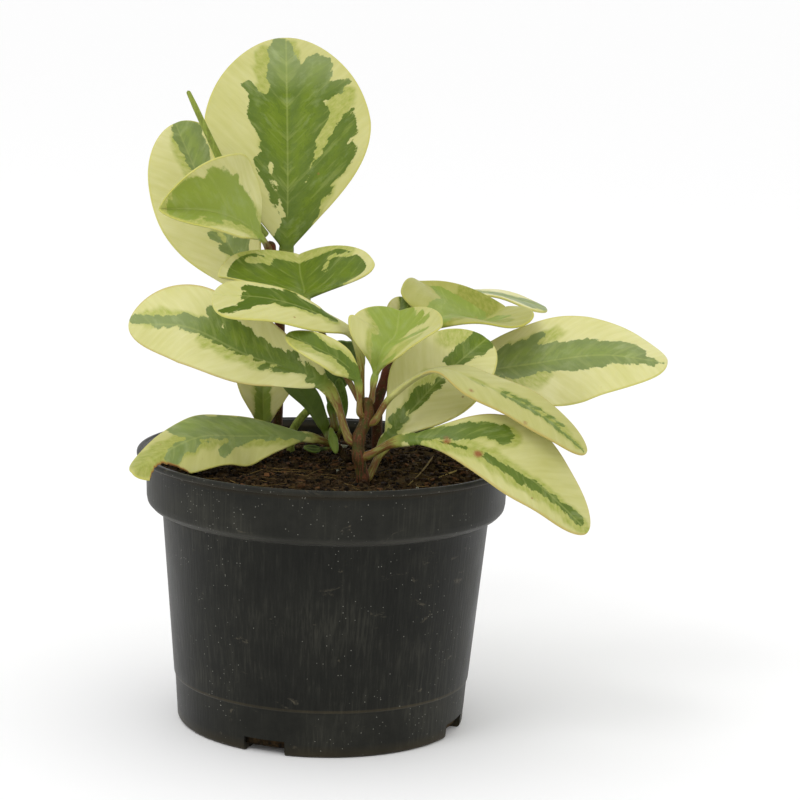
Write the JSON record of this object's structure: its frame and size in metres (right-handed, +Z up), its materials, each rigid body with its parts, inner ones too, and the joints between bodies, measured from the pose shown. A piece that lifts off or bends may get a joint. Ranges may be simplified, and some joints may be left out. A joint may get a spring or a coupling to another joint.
{
  "type": "potted peperomia",
  "caption": "Bushy variegated peperomia with thick spoon-shaped leaves in a black round nursery pot filled with soil.",
  "frame": {"origin": "on the pot's axis, on the face under the floor that the pot stands on", "axes": "+X to the viewer's right and +Y away from the viewer, as the plant is seen in the picture, +Z up"},
  "size_m": [0.1841, 0.1356, 0.2307],
  "materials": {
    "pot_plastic": "satin, dusty",
    "soil": "rough, damp",
    "stem": "satin",
    "shoot": "satin",
    "leaf": "glossy, waxy",
    "leaf_dark": "glossy, waxy"
  },
  "bodies": {
    "root": {"pot": "pot_plastic", "soil": "soil", "stem_front": "stem", "stem_back": "stem", "stem_tall": "stem", "stem_side": "stem", "young_shoot": "shoot", "flower_spike": "shoot", "leaf_top": "leaf", "leaf_top_left": "leaf", "leaf_young": "leaf", "leaf_open_back": "leaf", "leaf_mid_left": "leaf", "leaf_big_left": "leaf", "leaf_mid_front": "leaf", "leaf_rim_left": "leaf", "leaf_low_back": "leaf", "leaf_dark_left": "leaf_dark", "leaf_dark_right": "leaf_dark", "leaf_dark_small": "leaf_dark", "leaflet_down": "leaf", "leaflet_low": "leaf", "leaf_cup": "leaf", "leaf_cream": "leaf", "leaf_right_cup": "leaf", "leaf_right_edge": "leaf", "leaf_far_right": "leaf", "leaf_arching": "leaf", "leaf_rim_right": "leaf", "leaf_behind_cup": "leaf"}
  },
  "joints": []
}
